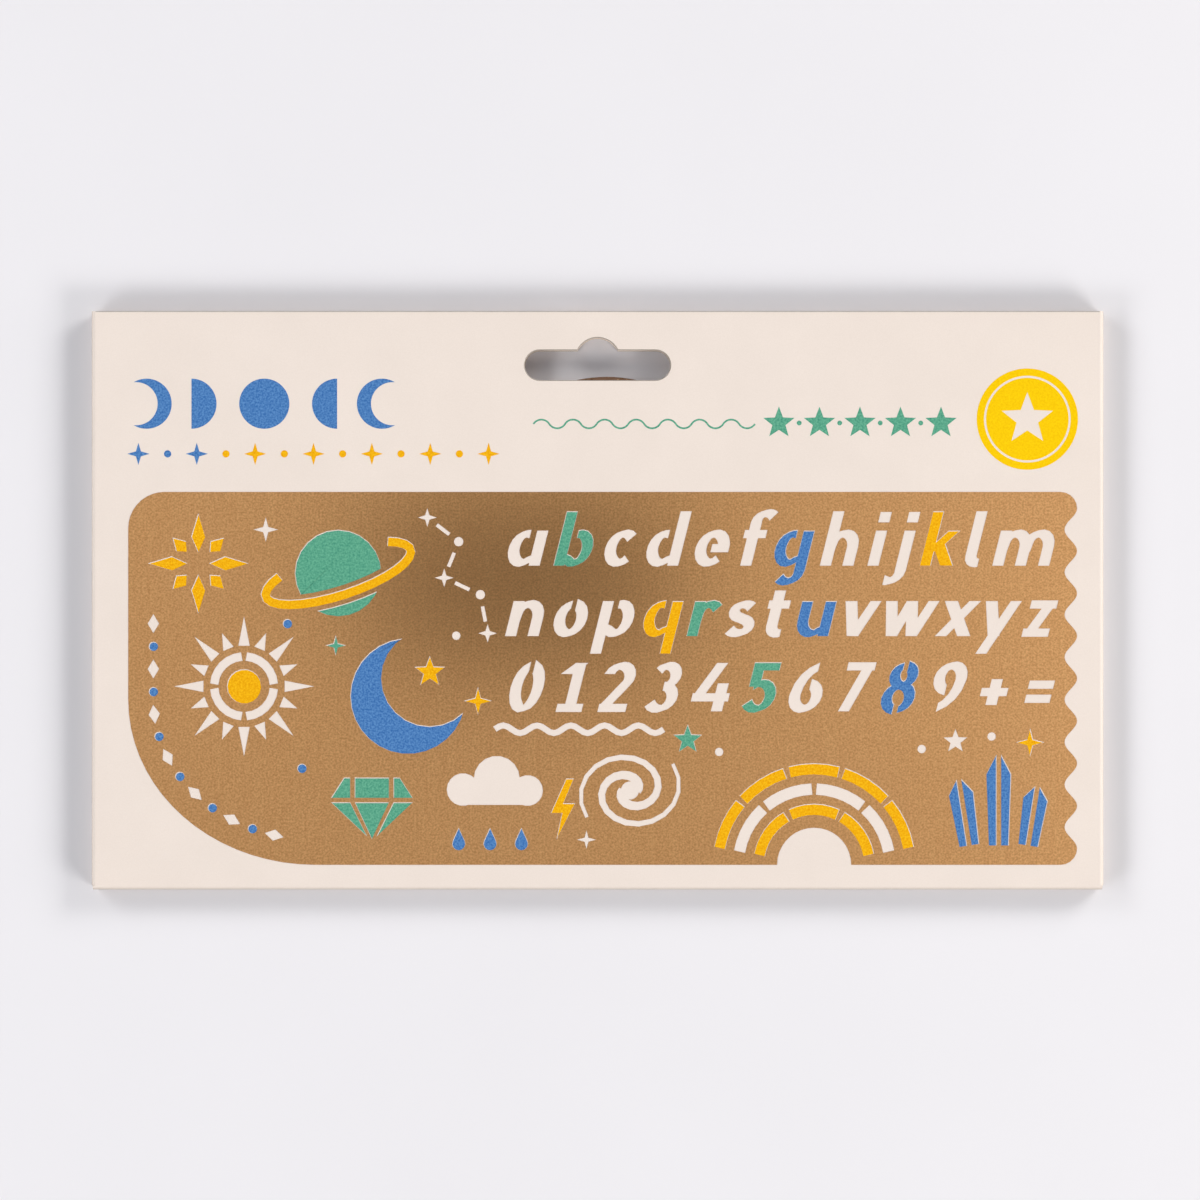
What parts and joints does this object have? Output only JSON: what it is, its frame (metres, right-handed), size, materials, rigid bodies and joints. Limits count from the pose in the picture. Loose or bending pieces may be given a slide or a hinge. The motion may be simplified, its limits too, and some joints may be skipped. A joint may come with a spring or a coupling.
{
  "type": "celestial stencil",
  "caption": "Etched brass drawing stencil on a kraft carrier, in a flat card wallet with a hang slot and a foil picture of the stencil on its front.",
  "frame": {"origin": "middle of the back panel's outer face, which the pack lies on", "axes": "+X along the pack's width, +Y up the pack to the hang slot, +Z out of the front panel"},
  "size_m": [0.21, 0.12, 0.0033],
  "materials": {
    "card": "uncoated cream board",
    "kraft": "brown kraft board",
    "brass": "etched and brushed",
    "foil": "hot-stamped satin foil",
    "glue": "dried adhesive"
  },
  "bodies": {
    "wallet": {"front_panel": "card", "back_panel": "card", "left_fold": "card", "right_fold": "card", "bottom_fold": "card", "left_glue_flap": "card", "right_glue_flap": "card", "left_glue_line": "glue", "right_glue_line": "glue", "foil_print": "foil"},
    "carrier": {"carrier_card": "kraft", "carrier_fold": "kraft", "carrier_lip": "kraft"},
    "stencil": {"stencil_sheet": "brass"}
  },
  "joints": [
    {"name": "carrier_slide", "type": "slide", "parent": "wallet", "child": "carrier", "axis": [0, 1, 0], "range_m": [0, 0.119]},
    {"name": "stencil_slide", "type": "slide", "parent": "carrier", "child": "stencil", "axis": [0, 1, 0], "range_m": [0, 0.105]}
  ]
}
